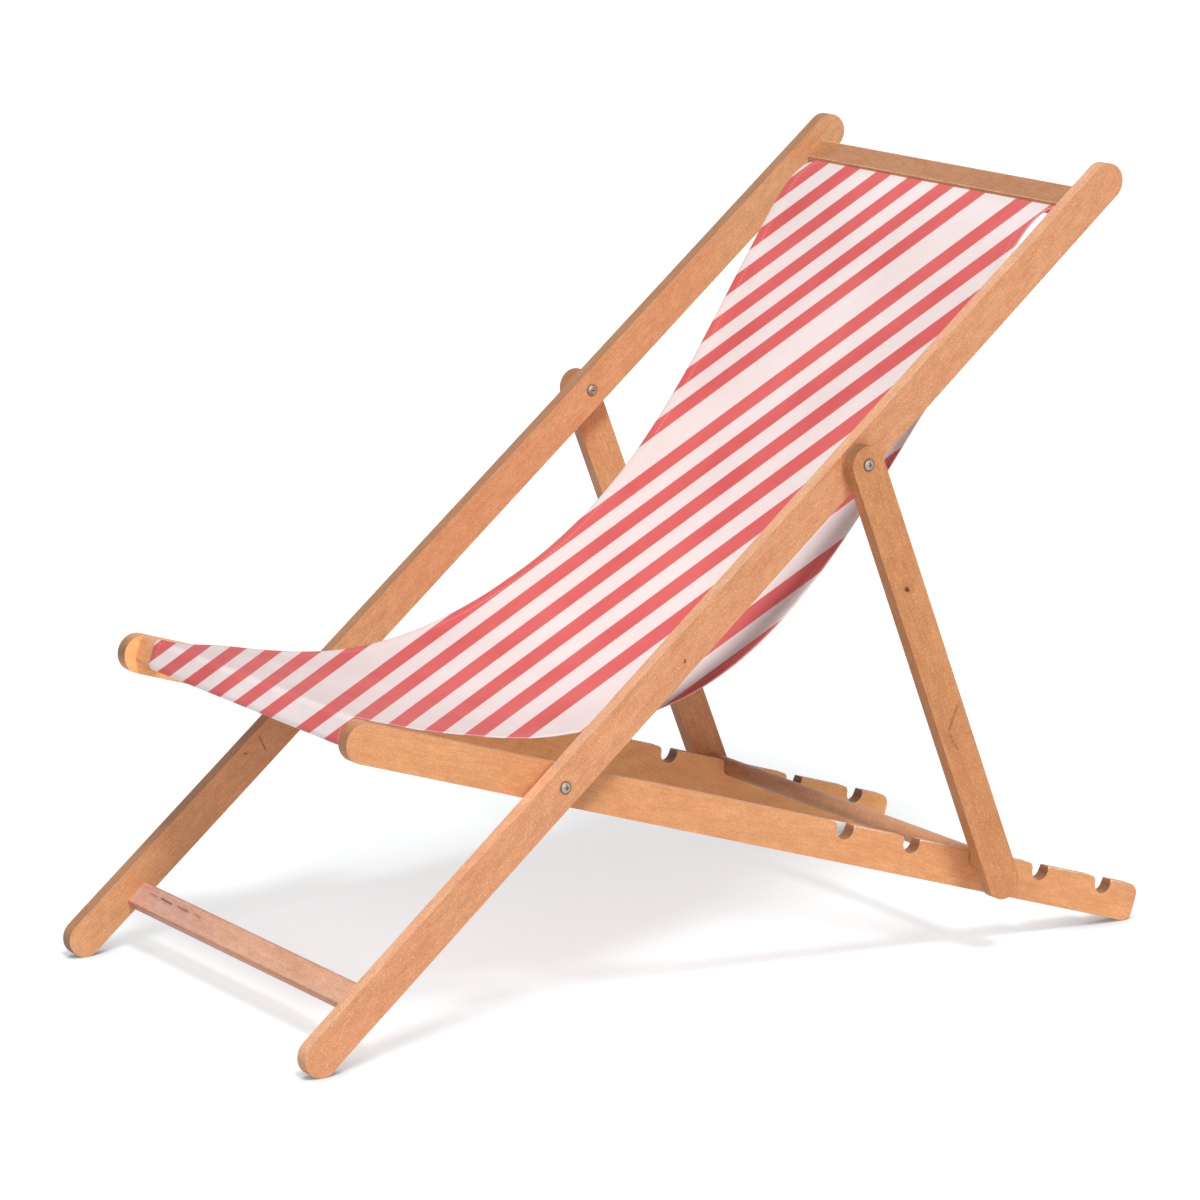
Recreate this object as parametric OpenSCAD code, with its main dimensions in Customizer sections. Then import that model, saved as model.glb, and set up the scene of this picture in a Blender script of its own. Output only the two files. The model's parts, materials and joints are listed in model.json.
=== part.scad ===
// Folding deck chair with three nested wooden frames and a hanging canvas sling.
// Frame: +Z up, the sitter looks towards -Y, left is +X, origin on the floor under
// the middle of the chair's footprint. Lengths are in millimetres.

/* [Timber] */
// Width of the back rails and prop legs, seen from the side
rail_w = 40; // [36:1:46]
// Thickness of every rail and leg
rail_t = 16; // [12:1:20]
// Gap between two frames lying side by side, filled by a spacer washer
layer_gap = 4; // [3.8:0.1:6]
// Clear width between the two seat rails
inner_w = 450; // [430:5:520]

/* [Back frame] */
// Seat pivot to the centre of the rounded foot end
foot_len = 375; // [340:5:400]
// Seat pivot to the centre of the rounded top end
back_len = 895; // [890:5:950]
// Seat pivot to prop pivot, along the back rail
prop_pivot_at = 471; // [450:1:490]
// Top rail, size along the back rail
top_rail_w = 30; // [24:1:36]
// Top rail, thickness
top_rail_t = 15; // [12:1:18]
// Middle of the top rail to the centre of the rounded top end
top_rail_inset = 28; // [16:1:31]
// Chamfer along the top rail's lower front edge
top_rail_chamfer = 2; // [1:0.5:4]
// Foot rail, size along the back rail
foot_rail_w = 30; // [24:1:36]
// Foot rail, thickness
foot_rail_t = 14; // [12:1:18]
// Middle of the foot rail to the centre of the rounded foot end
foot_rail_inset = 76; // [40:1:84]

/* [Seat frame] */
// Width of the seat rails, seen from the side
seat_rail_w = 42; // [38:1:46]
// Seat pivot to the centre of the rounded front end
seat_front_len = 237; // [210:1:245]
// Seat pivot to the square rear end
seat_rear_len = 806; // [800:2:840]
// Radius of the seat rail's rear corners
rear_corner_r = 12; // [4:1:18]
// Front bar, height on edge
front_bar_w = 30; // [24:1:34]
// Front bar, thickness
front_bar_t = 14; // [12:1:18]
// Number of notches for the prop bar
notch_count = 5; // [3:1:5]
// Notch that holds the prop bar, counted from the front
notch_used = 3; // [2:1:3]
// Seat pivot to the first notch
notch_first_at = 382; // [370:1:390]
// Distance from one notch to the next
notch_pitch = 93; // [88:1:98]
// Width of a notch
notch_w = 22; // [21:0.5:26]
// Depth of a notch
notch_depth = 17; // [14:0.5:20]
// Rounding of a notch's front shoulder
notch_shoulder_r = 5; // [2:0.5:8]
// Air left under the prop bar in its notch
bar_rest_gap = 0.3; // [0.1:0.1:0.6]

/* [Prop frame] */
// Prop pivot to the middle of the prop bar
prop_len = 495; // [470:1:500]
// Middle of the prop bar to the centre of the leg's rounded end
prop_tail = 20; // [15:1:30]
// Diameter of the round prop bar
prop_bar_d = 20; // [16:0.5:20.5]

/* [Joinery] */
// Depth of the stub tenons in their mortises
tenon_len = 8; // [5:1:10]
// Width of the shoulder round a flat rail's tenon
tenon_shoulder = 3; // [2:0.5:4]
// Diameter of the prop bar's turned ends
round_tenon_d = 14; // [10:0.5:15]
// Play between a tenon and its mortise, each way
tenon_play = 0.05; // [0.02:0.01:0.1]
// Play between a cross rail's shoulder and the rail it stands against
shoulder_play = 0.02; // [0.01:0.01:0.05]

/* [Pivot hardware] */
// Diameter of the pivot bolts
bolt_d = 6; // [5:0.5:8]
// Radial play of a bolt in the wood, the washer and the nut
bolt_play = 0.05; // [0.02:0.01:0.1]
// Diameter of the low round bolt head
head_d = 11; // [10:0.5:14]
// Height of the bolt head
head_h = 3; // [2:0.1:3.2]
// Diameter of the low cap nut
nut_d = 11; // [10:0.5:14]
// Height of the cap nut
nut_h = 3; // [2.4:0.1:3.2]
// Closed top of the cap nut, over the end of the bolt
nut_cap = 1; // [0.6:0.1:1.4]
// Diameter of the spacer washer
washer_d = 18; // [14:1:24]
// Axial play between two frames that turn on each other
turn_play = 0.2; // [0.1:0.05:0.3]

/* [Sling] */
// Thickness of the canvas
cloth_t = 1.5; // [1:0.1:2]
// Air left between the canvas and the wood it lies on
cloth_gap = 0.3; // [0.2:0.05:0.5]
// Width of the canvas where it leaves the front bar
sling_front_w = 408; // [380:2:420]
// Width of the canvas at the top rail
sling_top_w = 442; // [420:2:443]
// Part of the canvas length, from the front, over which it widens
sling_flare = 0.3; // [0.2:0.05:0.5]
// Length over which the canvas is drawn back along the seat plane
sling_seat_reach = 682; // [620:1:720]
// Depth that the canvas is drawn below the seat plane over that length
sling_seat_sink = 5; // [0:1:12]
// Height that the canvas bows out in front of the top rail
sling_top_bow = 104; // [60:1:120]
// Length that the canvas runs down the back over that height
sling_top_drop = 95; // [0:1:120]
// Extra sag of the middle below the two edges
sling_dip = 14; // [6:1:24]
// Canvas turned up behind the top rail
top_hem_len = 24; // [20:1:28]
// Canvas turned up behind the front bar
front_hem_len = 14; // [10:1:18]
// Number of tacks in each row
tack_count = 9; // [5:1:12]
// Distance from the outer tacks to the canvas edge
tack_edge = 14; // [10:1:24]
// Diameter of a tack head
tack_head_d = 7; // [5:0.5:8]
// Thickness of a tack head
tack_head_h = 0.8; // [0.6:0.1:1.2]
// Diameter of a tack shank
tack_shank_d = 1.6; // [1.2:0.1:2]
// Length of a tack below its head
tack_len = 10; // [8:0.5:11]

/* [Hidden] */
$fn = 64;

// Small overlap that lets a cutting tool pass through a surface
cut = 1;
// Part of a low head's height that is its straight edge
head_edge_share = 1 / 3;

// Layers of rails, from the middle outwards
seat_in = inner_w / 2;
seat_out = seat_in + rail_t;
back_in = seat_out + layer_gap;
back_out = back_in + rail_t;
leg_in = back_out + layer_gap;
leg_out = leg_in + rail_t;
end_r = rail_w / 2;
seat_r = seat_rail_w / 2;
hole_r = bolt_d / 2 + bolt_play;

// Prop bar resting in its notch, in the seat frame's own axes
bar_s = notch_first_at + (notch_used - 1) * notch_pitch;
bar_t = seat_r - notch_depth + prop_bar_d / 2 + bar_rest_gap;
bar_reach = norm([bar_s, bar_t]);

// Angle between back rail and seat rail, from the pivot triangle
open_cos = (prop_pivot_at ^ 2 + bar_reach ^ 2 - prop_len ^ 2) / (2 * prop_pivot_at * bar_reach);
open_a = acos(open_cos) + atan2(bar_t, bar_s);

// Slope of the seat rails when both feet and both rear corners touch the floor
rear_s = seat_rear_len - rear_corner_r;
rear_t = rear_corner_r - seat_r;
stance_s = rear_s + foot_len * cos(open_a);
stance_t = rear_t + foot_len * sin(open_a);
seat_a = atan2(stance_t, stance_s) + asin((end_r - rear_corner_r) / norm([stance_s, stance_t]));
back_a = open_a - seat_a;

// Points of the two frames as [y, z] from the seat pivot
function back_pt(s, t) = [s * cos(back_a) - t * sin(back_a), s * sin(back_a) + t * cos(back_a)];
function seat_pt(s, t) = [s * cos(seat_a) + t * sin(seat_a), t * cos(seat_a) - s * sin(seat_a)];

prop_pivot = back_pt(prop_pivot_at, 0);
bar_pos = seat_pt(bar_s, bar_t);
prop_a = atan2(bar_pos[1] - prop_pivot[1], bar_pos[0] - prop_pivot[0]);

// Footprint, which puts the origin under its middle
y_front = -foot_len * cos(back_a) - end_r;
y_rear = seat_pt(rear_s, -rear_t)[0] + rear_corner_r;
pivot_y = -(y_front + y_rear) / 2;
pivot_z = foot_len * sin(back_a) + end_r;

// Cross rails in their frames
top_rail_s = back_len - top_rail_inset;
foot_rail_s = foot_rail_inset - foot_len;
front_bar_s = -seat_front_len;
top_edge_s = top_rail_s - top_rail_w / 2;

// Canvas path: middle of its thickness, as [y, z] from the seat pivot
cloth_lift = cloth_gap + cloth_t / 2;
sling_front_s = front_bar_s + front_bar_t / 2 + cloth_lift;
sling_start = seat_pt(sling_front_s + cloth_gap / 2, seat_r + cloth_lift);
sling_end = back_pt(top_edge_s - cloth_lift, -top_rail_chamfer);
sling_start_pull = sling_start + seat_pt(sling_seat_reach, -sling_seat_sink);
sling_end_pull = sling_end + back_pt(-sling_top_drop, sling_top_bow);
sling_steps = 36;
sling_cols = 12;
hem_turns = 3;

function bezier(u) = (1 - u) ^ 3 * sling_start + 3 * (1 - u) ^ 2 * u * sling_start_pull
    + 3 * (1 - u) * u ^ 2 * sling_end_pull + u ^ 3 * sling_end;
function hem_turn(a) = back_pt(top_edge_s - cloth_lift * cos(a), -top_rail_t - cloth_lift * sin(a));

// Each station is [point, share of the way up, share of the dip]
sling_stations = concat(
    [for (i = [0 : sling_steps]) let (u = i / sling_steps) [bezier(u), u, sin(180 * u)]],
    [for (i = [0 : hem_turns]) [hem_turn(90 * i / hem_turns), 1, 0]],
    [[back_pt(top_edge_s + top_hem_len, -top_rail_t - cloth_lift), 1, 0]]
);
last_station = len(sling_stations) - 1;

function unit(v) = v / norm(v);
function heading(i) = unit(sling_stations[i + 1][0] - sling_stations[i][0]);
function normal_in(i) = [-heading(max(i - 1, 0))[1], heading(max(i - 1, 0))[0]];
function normal_out(i) = let (k = min(i, last_station - 1)) [-heading(k)[1], heading(k)[0]];
// Offset direction at a station, lengthened at a bend so that the thickness stays even
function miter(i) = (normal_in(i) + normal_out(i)) / (1 + normal_in(i) * normal_out(i));
function half_width(u) =
    (sling_front_w + (sling_top_w - sling_front_w) * min(1, u / sling_flare)) / 2;

// A flat frame member: its side outline, given in the frame's own axes, is raised
// from x0 outwards
module side_board(angle, x0, thickness, origin = [0, 0]) {
    translate([x0, pivot_y + origin[0], pivot_z + origin[1]])
        rotate([90, 0, 90]) rotate([0, 0, angle]) linear_extrude(thickness) children();
}

// A cylinder along X through a point given as [y, z] from the seat pivot
module cross_cylinder(point, x0, length, radius) {
    translate([x0, pivot_y + point[0], pivot_z + point[1]])
        rotate([0, 90, 0]) cylinder(r = radius, h = length);
}

module round_bar_outline(s0, s1) {
    translate([s0, -end_r]) square([s1 - s0, rail_w]);
    translate([s0, 0]) circle(end_r);
    translate([s1, 0]) circle(end_r);
}

module centred_rect(s, t, w, h) {
    translate([s - w / 2, t - h / 2]) square([w, h]);
}

// The section of a cross rail's tenon, or with play of its mortise
module tenon_rect(s, t, w, h, play = 0) {
    centred_rect(s, t, w - 2 * tenon_shoulder + 2 * play, h - 2 * tenon_shoulder + 2 * play);
}

module mortise(angle, face_x, s, t, w, h) {
    depth = tenon_len + tenon_play;
    side_board(angle, face_x - cut, depth + cut) tenon_rect(s, t, w, h, tenon_play);
}

module back_rail() {
    color("burlywood") difference() {
        side_board(back_a, back_in, rail_t) round_bar_outline(-foot_len, back_len);
        cross_cylinder([0, 0], back_in - cut, rail_t + 2 * cut, hole_r);
        cross_cylinder(prop_pivot, back_in - cut, rail_t + 2 * cut, hole_r);
        mortise(back_a, back_in, top_rail_s, -top_rail_t / 2, top_rail_w, top_rail_t);
        mortise(back_a, back_in, foot_rail_s, foot_rail_t / 2 - end_r, foot_rail_w, foot_rail_t);
    }
}

// A flat cross rail between two frame members, with its stub tenons
module cross_rail(angle, half_span, s, t, w, h) {
    shoulder_x = half_span - shoulder_play;
    side_board(angle, -shoulder_x, 2 * shoulder_x) children();
    side_board(angle, -half_span - tenon_len, 2 * (half_span + tenon_len)) tenon_rect(s, t, w, h);
}

module top_rail() {
    low_s = top_edge_s;
    high_s = top_edge_s + top_rail_w;
    color("peru") cross_rail(back_a, back_in, top_rail_s, -top_rail_t / 2, top_rail_w, top_rail_t)
        polygon([
            [low_s, -top_rail_t], [high_s, -top_rail_t], [high_s, 0],
            [low_s + top_rail_chamfer, 0], [low_s, -top_rail_chamfer]
        ]);
}

module foot_rail() {
    t = foot_rail_t / 2 - end_r;
    color("tan") cross_rail(back_a, back_in, foot_rail_s, t, foot_rail_w, foot_rail_t)
        centred_rect(foot_rail_s, t, foot_rail_w, foot_rail_t);
}

module seat_front_bar() {
    t = seat_r - front_bar_w / 2;
    color("burlywood") cross_rail(-seat_a, seat_in, front_bar_s, t, front_bar_t, front_bar_w)
        centred_rect(front_bar_s, t, front_bar_t, front_bar_w);
}

// One notch open to the rail's top edge: round bottom, eased front shoulder
module notch_outline(s) {
    r = notch_w / 2;
    t = seat_r - notch_depth + r;
    corner_s = s - r - notch_shoulder_r;
    corner_t = seat_r - notch_shoulder_r;
    translate([s, t]) circle(r);
    translate([s - r, t]) square([notch_w, seat_r - t + cut]);
    difference() {
        translate([corner_s, corner_t]) square(notch_shoulder_r + cut);
        translate([corner_s, corner_t]) circle(notch_shoulder_r);
    }
}

module seat_rail_outline() {
    difference() {
        union() {
            translate([front_bar_s, 0]) circle(seat_r);
            translate([front_bar_s, -seat_r]) square([rear_s - front_bar_s, seat_rail_w]);
            translate([rear_s, rear_t]) square([rear_corner_r, -2 * rear_t]);
            translate([rear_s, rear_t]) circle(rear_corner_r);
            translate([rear_s, -rear_t]) circle(rear_corner_r);
        }
        for (i = [0 : notch_count - 1]) notch_outline(notch_first_at + i * notch_pitch);
    }
}

module seat_rail() {
    color("burlywood") difference() {
        side_board(-seat_a, seat_in, rail_t) seat_rail_outline();
        cross_cylinder([0, 0], seat_in - cut, rail_t + 2 * cut, hole_r);
        mortise(-seat_a, seat_in, front_bar_s, seat_r - front_bar_w / 2, front_bar_t, front_bar_w);
    }
}

module prop_leg() {
    hole_depth = tenon_len + tenon_play;
    color("burlywood") difference() {
        side_board(prop_a, leg_in, rail_t, prop_pivot) round_bar_outline(0, prop_len + prop_tail);
        cross_cylinder(prop_pivot, leg_in - cut, rail_t + 2 * cut, hole_r);
        cross_cylinder(bar_pos, leg_in - cut, hole_depth + cut, round_tenon_d / 2 + tenon_play);
    }
}

module prop_bar() {
    color("tan") {
        cross_cylinder(bar_pos, -leg_in, 2 * leg_in, prop_bar_d / 2);
        cross_cylinder(bar_pos, -leg_in - tenon_len, 2 * (leg_in + tenon_len), round_tenon_d / 2);
    }
}

// A low dome of the given size, flat side down, standing on z = 0
module dome(diameter, height) {
    edge = height * head_edge_share;
    rise = height - edge;
    r = (diameter ^ 2 / 4 + rise ^ 2) / (2 * rise);
    rotate_extrude() {
        square([diameter / 2, edge]);
        intersection() {
            translate([0, height - r]) circle(r);
            square([diameter / 2, height]);
        }
    }
}

// Pivot hardware turns on X at a point given as [y, z] from the seat pivot
module along_x(point, x0) {
    translate([x0, pivot_y + point[0], pivot_z + point[1]]) rotate([0, 90, 0]) children();
}

// Bolt whose head lies outside head_x and whose shank ends inside the nut at nut_x
module pivot_bolt(point, head_x, nut_x) {
    shank_end = nut_x - nut_h + nut_cap;
    color("gainsboro") {
        along_x(point, head_x) dome(head_d, head_h);
        along_x(point, shank_end) cylinder(d = bolt_d, h = head_x - shank_end);
    }
}

// Low cap nut on the inner side, its flat side at nut_x
module pivot_nut(point, nut_x) {
    color("gainsboro") along_x(point, nut_x) difference() {
        mirror([0, 0, 1]) dome(nut_d, nut_h);
        translate([0, 0, nut_cap - nut_h]) cylinder(r = hole_r, h = nut_h);
    }
}

module spacer_washer(point, x0) {
    color("silver") along_x(point, x0) difference() {
        cylinder(d = washer_d, h = layer_gap - turn_play);
        translate([0, 0, -cut]) cylinder(r = hole_r, h = layer_gap + 2 * cut);
    }
}

module seat_pivot_bolt() {
    pivot_bolt([0, 0], back_out, seat_in - turn_play);
}

module seat_pivot_nut() {
    pivot_nut([0, 0], seat_in - turn_play);
}

module seat_pivot_washer() {
    spacer_washer([0, 0], back_in - layer_gap + turn_play);
}

module prop_pivot_bolt() {
    pivot_bolt(prop_pivot, leg_out + turn_play, back_in);
}

module prop_pivot_nut() {
    pivot_nut(prop_pivot, back_in);
}

module prop_pivot_washer() {
    spacer_washer(prop_pivot, back_out);
}

// One row of the canvas: its points across the width on one face
function sling_row(i, side) = let (
        p = sling_stations[i][0],
        u = sling_stations[i][1],
        dip = sling_dip * sling_stations[i][2],
        n = miter(i)
    ) [for (j = [0 : sling_cols]) let (
        v = 2 * j / sling_cols - 1,
        q = p + n * (side * cloth_t / 2 - dip * (1 - v ^ 2))
    ) [v * half_width(u), pivot_y + q[0], pivot_z + q[1]]];

// The hanging canvas from the front bar to the hem behind the top rail
module sling() {
    rows = last_station + 1;
    cols = sling_cols + 1;
    face = rows * cols;
    upper = [for (i = [0 : last_station]) each sling_row(i, 1)];
    lower = [for (i = [0 : last_station]) each sling_row(i, -1)];
    rim = concat(
        [for (j = [0 : cols - 2]) j],
        [for (i = [0 : rows - 2]) i * cols + cols - 1],
        [for (j = [cols - 1 : -1 : 1]) (rows - 1) * cols + j],
        [for (i = [rows - 1 : -1 : 1]) i * cols]
    );
    cells = [for (i = [0 : rows - 2]) for (j = [0 : cols - 2]) i * cols + j];
    color("salmon") polyhedron(
        points = concat(upper, lower),
        faces = concat(
            [for (k = cells) each [[k, k + cols, k + 1], [k + 1, k + cols, k + cols + 1]]],
            [for (k = cells) each [[face + k, face + k + 1, face + k + cols],
                [face + k + 1, face + k + cols + 1, face + k + cols]]],
            [for (k = [0 : len(rim) - 1]) let (a = rim[k], b = rim[(k + 1) % len(rim)])
                each [[a, b, face + a], [b, face + b, face + a]]]
        )
    );
}

// A quarter bend of canvas round a sharp edge of wood
module cloth_bend(s, t, turn) {
    translate([s, t]) rotate(turn) intersection() {
        difference() {
            circle(cloth_gap + cloth_t);
            circle(cloth_gap);
        }
        square(cloth_gap + cloth_t);
    }
}

// Canvas over the front bar: top, front, underside and a short turn-up behind
module front_hem_outline() {
    s0 = front_bar_s - front_bar_t / 2;
    s1 = front_bar_s + front_bar_t / 2;
    t0 = seat_r - front_bar_w;
    t1 = seat_r;
    lay = cloth_gap + cloth_t;
    translate([s0, t1 + cloth_gap]) square([sling_front_s - cloth_gap / 2 - s0, cloth_t]);
    translate([s0 - lay, t0]) square([cloth_t, front_bar_w]);
    translate([s0, t0 - lay]) square([front_bar_t, cloth_t]);
    translate([s1 + cloth_gap, t0]) square([cloth_t, front_hem_len]);
    cloth_bend(s0, t1, 90);
    cloth_bend(s0, t0, 180);
    cloth_bend(s1, t0, 270);
}

module sling_front_hem() {
    color("salmon") side_board(-seat_a, -sling_front_w / 2, sling_front_w) front_hem_outline();
}

// A row of tacks across the width; angle turns +Z to the side the heads face
module tack_row(point, angle, width) {
    span = width - 2 * tack_edge;
    for (i = [0 : tack_count - 1])
        translate([span * (i / (tack_count - 1) - 0.5), pivot_y + point[0], pivot_z + point[1]])
            rotate([angle, 0, 0]) {
                cylinder(d = tack_head_d, h = tack_head_h);
                translate([0, 0, -tack_len]) cylinder(d = tack_shank_d, h = tack_len + tack_head_h / 2);
            }
}

// Tacks through the hem into the back of the top rail
module sling_tacks_top() {
    s = top_edge_s + top_hem_len / 2;
    t = -top_rail_t - cloth_gap - cloth_t;
    color("dimgray") tack_row(back_pt(s, t), back_a + 180, sling_top_w);
}

// Tacks through the hem into the rear of the front bar
module sling_tacks_front() {
    s = front_bar_s + front_bar_t / 2 + cloth_gap + cloth_t;
    t = seat_r - front_bar_w + front_hem_len / 2;
    color("dimgray") tack_row(seat_pt(s, t), -90 - seat_a, sling_front_w);
}

module right() {
    mirror([1, 0, 0]) children();
}

back_rail();  // back_rail_left
right() back_rail();  // back_rail_right
top_rail();
foot_rail();
seat_rail();  // seat_rail_left
right() seat_rail();  // seat_rail_right
seat_front_bar();
prop_leg();  // prop_leg_left
right() prop_leg();  // prop_leg_right
prop_bar();
seat_pivot_bolt();  // seat_pivot_bolt_left
right() seat_pivot_bolt();  // seat_pivot_bolt_right
seat_pivot_nut();  // seat_pivot_nut_left
right() seat_pivot_nut();  // seat_pivot_nut_right
seat_pivot_washer();  // seat_pivot_washer_left
right() seat_pivot_washer();  // seat_pivot_washer_right
prop_pivot_bolt();  // prop_pivot_bolt_left
right() prop_pivot_bolt();  // prop_pivot_bolt_right
prop_pivot_nut();  // prop_pivot_nut_left
right() prop_pivot_nut();  // prop_pivot_nut_right
prop_pivot_washer();  // prop_pivot_washer_left
right() prop_pivot_washer();  // prop_pivot_washer_right
sling();
sling_front_hem();
sling_tacks_top();
sling_tacks_front();
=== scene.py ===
"""A folding deck chair: varnished hardwood frames, plated pivots and a striped canvas sling.

Metres, +Z up, the sitter looks towards -Y. Every piece is built in the frame's own place.
"""

import json
import math

import bmesh
import bpy
from mathutils import Matrix, Vector


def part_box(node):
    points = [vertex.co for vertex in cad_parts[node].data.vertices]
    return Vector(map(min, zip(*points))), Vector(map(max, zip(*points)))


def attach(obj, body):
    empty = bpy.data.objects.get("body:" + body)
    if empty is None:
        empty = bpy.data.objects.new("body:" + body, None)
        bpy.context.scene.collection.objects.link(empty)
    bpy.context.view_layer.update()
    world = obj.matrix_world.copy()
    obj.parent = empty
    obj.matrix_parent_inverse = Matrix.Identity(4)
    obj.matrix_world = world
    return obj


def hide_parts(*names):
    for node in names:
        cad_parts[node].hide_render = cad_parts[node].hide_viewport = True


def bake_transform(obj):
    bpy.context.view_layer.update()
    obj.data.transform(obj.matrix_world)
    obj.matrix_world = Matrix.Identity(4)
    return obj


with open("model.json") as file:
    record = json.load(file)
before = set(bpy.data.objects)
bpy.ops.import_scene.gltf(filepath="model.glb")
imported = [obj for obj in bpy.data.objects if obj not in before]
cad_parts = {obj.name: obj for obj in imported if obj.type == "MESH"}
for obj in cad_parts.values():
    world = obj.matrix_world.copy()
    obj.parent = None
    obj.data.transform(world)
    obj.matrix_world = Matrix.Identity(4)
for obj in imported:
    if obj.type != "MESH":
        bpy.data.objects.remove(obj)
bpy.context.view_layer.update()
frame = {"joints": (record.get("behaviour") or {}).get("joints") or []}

# Sizes in metres
MM = 0.001
RAIL_W = 40 * MM
RAIL_T = 16 * MM
LAYER_GAP = 4 * MM
INNER_W = 450 * MM
END_R = RAIL_W / 2
SEAT_RAIL_W = 42 * MM
SEAT_R = SEAT_RAIL_W / 2
FOOT_LEN = 375 * MM
BACK_LEN = 895 * MM
TOP_RAIL = (30 * MM, 15 * MM)
TOP_RAIL_INSET = 28 * MM
FOOT_RAIL = (30 * MM, 14 * MM)
FOOT_RAIL_INSET = 76 * MM
SEAT_FRONT_LEN = 237 * MM
SEAT_REAR_LEN = 806 * MM
REAR_CORNER_R = 12 * MM
FRONT_BAR = (14 * MM, 30 * MM)
NOTCH_FIRST = 382 * MM
NOTCH_PITCH = 93 * MM
NOTCH_COUNT = 5
NOTCH_USED = 3
NOTCH_W = 22 * MM
NOTCH_DEPTH = 17 * MM
NOTCH_SHOULDER_R = 5 * MM
PROP_LEN = 495 * MM
PROP_TAIL = 20 * MM
PROP_BAR_D = 20 * MM
BAR_REST_GAP = 0.3 * MM
BOLT_D = 6 * MM
HEAD_D = 11 * MM
HEAD_H = 3 * MM
WASHER_D = 18 * MM
TURN_PLAY = 0.2 * MM
ARRIS_R = 2.3 * MM
FRONT_BAR_R = 6 * MM
# Strength of the painted shade on the faces inside the seat rails' notches
NOTCH_SHADE = 1.2

CLOTH_T = 1.5 * MM
CLOTH_GAP = 0.3 * MM
SLING_FRONT_W = 408 * MM
SLING_TOP_W = 442 * MM
SLING_FLARE = 0.3
SLING_SHIFT = 12.5 * MM
SEAT_REACH = 682 * MM
SEAT_SINK = 5 * MM
TOP_BOW = 104 * MM
TOP_DROP = 95 * MM
SLING_DIP = 14 * MM
TOP_HEM_LEN = 24 * MM
FRONT_HEM_LEN = 14 * MM
TOP_CHAMFER = 2 * MM
TACK_COUNT = 9
TACK_EDGE = 14 * MM
TACK_HEAD_D = 7 * MM

# Layers of rails, from the middle outwards
SEAT_IN = INNER_W / 2
SEAT_OUT = SEAT_IN + RAIL_T
BACK_IN = SEAT_OUT + LAYER_GAP
BACK_OUT = BACK_IN + RAIL_T
LEG_IN = BACK_OUT + LAYER_GAP
LEG_OUT = LEG_IN + RAIL_T

SIDES = (("left", 1), ("right", -1))


class Plane:
    """A flat frame's own axes: s along its rails, t across them, in the YZ plane."""

    def __init__(self, origin, angle):
        self.origin = Vector((0, origin[1], origin[2]))
        self.along = Vector((0, math.cos(angle), math.sin(angle)))
        self.across = Vector((0, -math.sin(angle), math.cos(angle)))
        self.angle = angle

    def at(self, s, t, x=0.0):
        p = self.origin + self.along * s + self.across * t
        return Vector((x, p.y, p.z))


joints = {j["name"]: Vector(j["pos_m"]) for j in frame["joints"]}
seat_pivot = joints["seat_fold"]
prop_pivot = joints["prop_fold"]
bar_low, bar_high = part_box("prop_bar")
bar_centre = (bar_low + bar_high) / 2

bar_s = NOTCH_FIRST + (NOTCH_USED - 1) * NOTCH_PITCH
bar_t = SEAT_R - NOTCH_DEPTH + PROP_BAR_D / 2 + BAR_REST_GAP
to_prop = prop_pivot - seat_pivot
to_bar = bar_centre - seat_pivot
down_leg = bar_centre - prop_pivot
back = Plane(seat_pivot, math.atan2(to_prop.z, to_prop.y))
seat = Plane(seat_pivot, math.atan2(to_bar.z, to_bar.y) - math.atan2(bar_t, bar_s))
prop = Plane(prop_pivot, math.atan2(down_leg.z, down_leg.y))

# The camera stands where the photograph was taken from
CAMERA_AT = Vector((4.440815, -2.945680, 1.550680))
CAMERA_TO = Vector((0.071570, -0.066360, 0.401584))
CAMERA_ROLL = math.radians(0.334)
CAMERA_LENS = 151.42
SENSOR = 36.0
PHOTO = 1200

view_back = (CAMERA_AT - CAMERA_TO).normalized()
level_right = Vector((0, 0, 1)).cross(view_back).normalized()
level_up = view_back.cross(level_right)
view_right = level_right * math.cos(CAMERA_ROLL) + level_up * math.sin(CAMERA_ROLL)
view_up = level_up * math.cos(CAMERA_ROLL) - level_right * math.sin(CAMERA_ROLL)

camera_data = bpy.data.cameras.new("camera")
camera_data.lens = CAMERA_LENS
camera_data.sensor_width = SENSOR
camera_data.clip_end = 200
camera = bpy.data.objects.new("camera", camera_data)
bpy.context.scene.collection.objects.link(camera)
turn = Matrix((view_right, view_up, view_back)).transposed().to_4x4()
camera.matrix_world = Matrix.Translation(CAMERA_AT) @ turn
bpy.context.scene.camera = camera


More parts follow.
